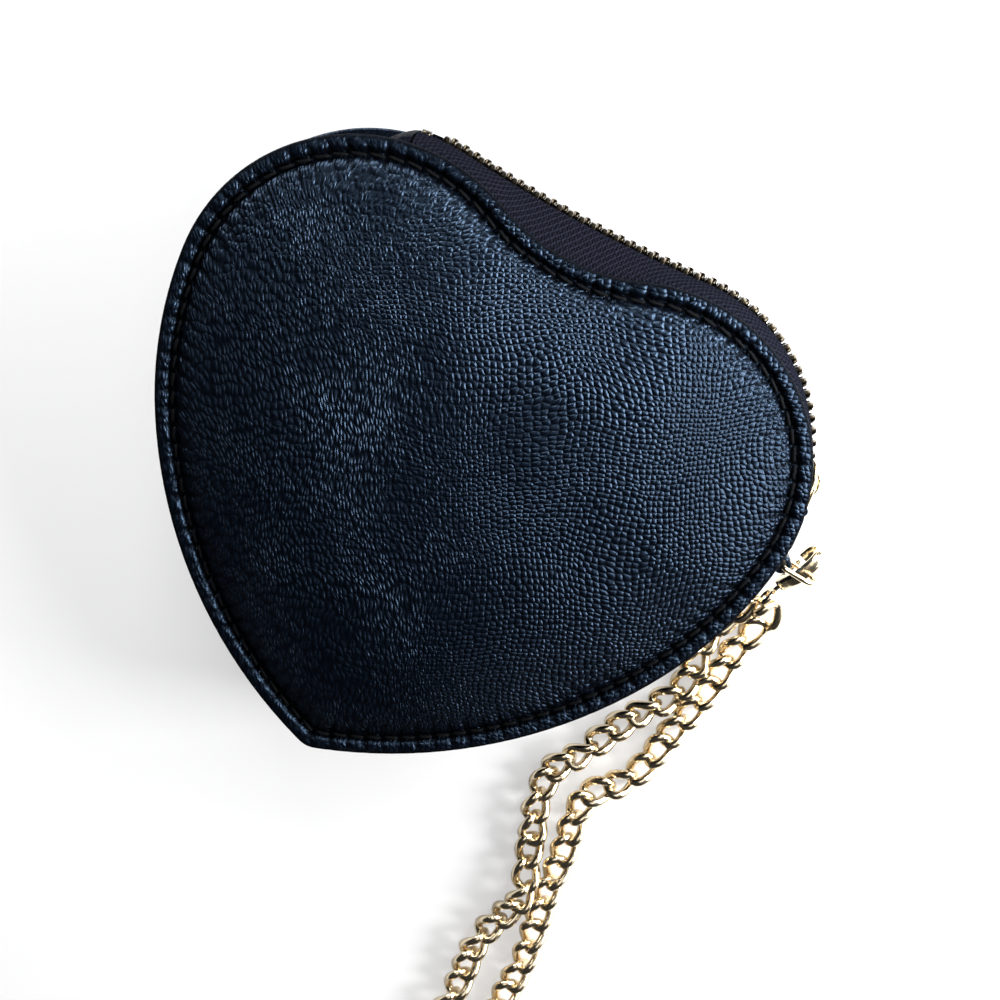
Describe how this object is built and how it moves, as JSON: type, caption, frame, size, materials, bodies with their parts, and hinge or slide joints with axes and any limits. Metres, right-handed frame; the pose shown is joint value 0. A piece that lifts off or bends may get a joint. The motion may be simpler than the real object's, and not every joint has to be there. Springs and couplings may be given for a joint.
{
  "type": "wristlet pouch",
  "caption": "Heart-shaped zip-around leather pouch with a padded front, lying on its back, with a curb-chain wrist loop clipped to a ring beside the zip.",
  "frame": {"origin": "middle of the back panel's flat outer face, on the surface that the pouch lies on", "axes": "+Z out of the padded front, +Y from the tip towards the two lobes, +X to the side with the ring and chain"},
  "size_m": [0.1322, 0.1858, 0.0254],
  "materials": {
    "crosshatch_leather": "satin, fine crosshatch grain",
    "lining_cloth": "matte",
    "padded_board": "matte",
    "zip_tape": "woven",
    "pale_gold": "polished"
  },
  "bodies": {
    "back_half": {"back_panel": "crosshatch_leather", "back_board": "padded_board", "back_lining": "lining_cloth", "gusset_band": "crosshatch_leather", "gusset_lining": "lining_cloth", "back_zip_tape": "zip_tape", "back_zip_teeth": "pale_gold", "zip_bottom_stop": "pale_gold", "back_top_stop": "pale_gold", "ring_tab": "crosshatch_leather", "wrist_chain": "pale_gold"},
    "front_half": {"front_panel": "crosshatch_leather", "front_board": "padded_board", "front_lining": "lining_cloth", "front_zip_tape": "zip_tape", "front_zip_teeth": "pale_gold", "front_top_stop": "pale_gold"},
    "slider": {"zip_slider": "pale_gold"},
    "pull": {"pull_link": "pale_gold", "zip_pull": "crosshatch_leather"},
    "ring": {"d_ring": "pale_gold"},
    "clasp": {"clasp_body": "pale_gold", "lever_pin": "pale_gold", "lever_spring": "pale_gold"},
    "lever": {"clasp_lever": "pale_gold"},
    "eye": {"swivel_eye": "pale_gold"}
  },
  "joints": [
    {"name": "mouth_open", "type": "hinge", "parent": "back_half", "child": "front_half", "pos_m": [-0.00154, -0.05524, 0.02065], "axis": [0.94, -0.3413, 0], "range_deg": [0, 7]},
    {"name": "zip_run", "type": "hinge", "parent": "back_half", "child": "slider", "pos_m": [0.02773, 0.02546, 0.011], "axis": [0, 0, 1], "range_deg": [0, 66]},
    {"name": "pull_swing", "type": "hinge", "parent": "slider", "child": "pull", "pos_m": [0.06075, 0.0337, 0.011], "axis": [0, 0, 1], "range_deg": [0, 140]},
    {"name": "ring_swing", "type": "hinge", "parent": "back_half", "child": "ring", "pos_m": [0.06293, 0.01775, 0.011], "axis": [0, 0, 1], "range_deg": [0, 22]},
    {"name": "clasp_swing", "type": "hinge", "parent": "ring", "child": "clasp", "pos_m": [0.06818, 0.01733, 0.00634], "axis": [0.9521, -0.3057, 0], "range_deg": [-15, 45]},
    {"name": "lever_open", "type": "hinge", "parent": "clasp", "child": "lever", "pos_m": [0.06723, 0.01438, 0.00394], "axis": [0.9521, -0.3057, 0], "range_deg": [0, 14], "stiffness_Nm_per_rad": 0.02},
    {"name": "eye_swivel", "type": "hinge", "parent": "clasp", "child": "eye", "pos_m": [0.06552, 0.00905, 0.00634], "axis": [0.3057, 0.9521, 0], "range_deg": [-30, 30]}
  ]
}
